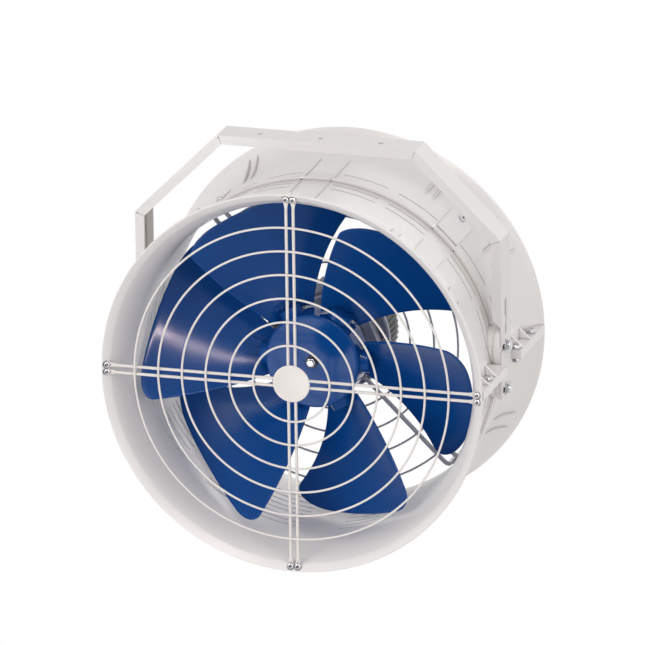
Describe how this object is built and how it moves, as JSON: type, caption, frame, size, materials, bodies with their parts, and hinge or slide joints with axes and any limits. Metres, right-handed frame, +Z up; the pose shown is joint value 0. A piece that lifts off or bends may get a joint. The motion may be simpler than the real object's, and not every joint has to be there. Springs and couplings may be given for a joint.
{
  "type": "drum fan",
  "caption": "Drum fan with a pitched-blade wheel behind a wire guard in a flared round housing, tilting in a C-shaped ceiling bracket.",
  "frame": {"origin": "centre of the middle ceiling hole on the top face of the bracket", "axes": "+Z up out of the bracket's top face, -Y the way the air leaves, X along the bracket bar"},
  "size_m": [0.722, 0.4132, 0.7625],
  "materials": {
    "shell_paint": "satin",
    "bracket_paint": "satin",
    "wire_paint": "satin",
    "wheel_plastic": "gloss",
    "bright_steel": "polished",
    "grey_steel": "satin",
    "bare_steel": "brushed",
    "cast_aluminium": "cast",
    "motor_paint": "matte",
    "winding_copper": "varnished",
    "black_rubber": "matte"
  },
  "bodies": {
    "bracket": {"bracket_channel": "bracket_paint", "pivot_bolts": "bright_steel", "pivot_washers": "bright_steel"},
    "housing": {"front_shell": "shell_paint", "rear_shell": "shell_paint", "joint_screws": "bright_steel", "joint_nuts": "bright_steel", "pivot_plate_left": "shell_paint", "pivot_plate_right": "shell_paint", "pivot_plate_screws": "bright_steel", "pivot_bushes": "bare_steel", "lock_bolts": "bright_steel", "lock_washers": "bright_steel", "ear_bolts": "bright_steel", "ear_nuts": "bright_steel", "front_guard": "wire_paint", "guard_centre_disc": "wire_paint", "front_guard_screws": "bright_steel", "support_rods": "grey_steel", "rear_guard_rings": "grey_steel", "rod_tabs": "grey_steel", "rod_washers": "black_rubber", "rod_bolts": "bright_steel", "rod_nuts": "bright_steel", "motor_pan": "cast_aluminium", "motor_pan_screws": "bright_steel", "front_end_shield": "cast_aluminium", "motor_body": "motor_paint", "rear_end_shield": "cast_aluminium", "shield_screws": "bright_steel", "stator_core": "bare_steel", "stator_windings": "winding_copper", "front_bearing": "bare_steel", "rear_bearing": "bare_steel", "terminal_box": "motor_paint", "terminal_box_lid": "motor_paint", "lid_screws": "bright_steel", "cable_gland": "black_rubber"},
    "fan_wheel": {"motor_shaft": "bare_steel", "rotor_core": "bare_steel", "shaft_key": "bare_steel", "hub_adapter": "cast_aluminium", "hub_rear_plate": "wheel_plastic", "hub_front_plate": "wheel_plastic", "hub_bolts": "bright_steel", "centre_washer": "motor_paint", "centre_bolt": "bright_steel", "blade_1": "wheel_plastic", "blade_2": "wheel_plastic", "blade_3": "wheel_plastic", "blade_4": "wheel_plastic", "blade_5": "wheel_plastic", "blade_6": "wheel_plastic"}
  },
  "joints": [
    {"name": "housing_tilt", "type": "hinge", "parent": "bracket", "child": "housing", "pos_m": [0, 0, -0.366], "axis": [1, 0, 0], "range_deg": [-14, 14]},
    {"name": "wheel_spin", "type": "hinge", "parent": "housing", "child": "fan_wheel", "pos_m": [0, 0, -0.403], "axis": [0, -1, 0], "continuous": true}
  ]
}
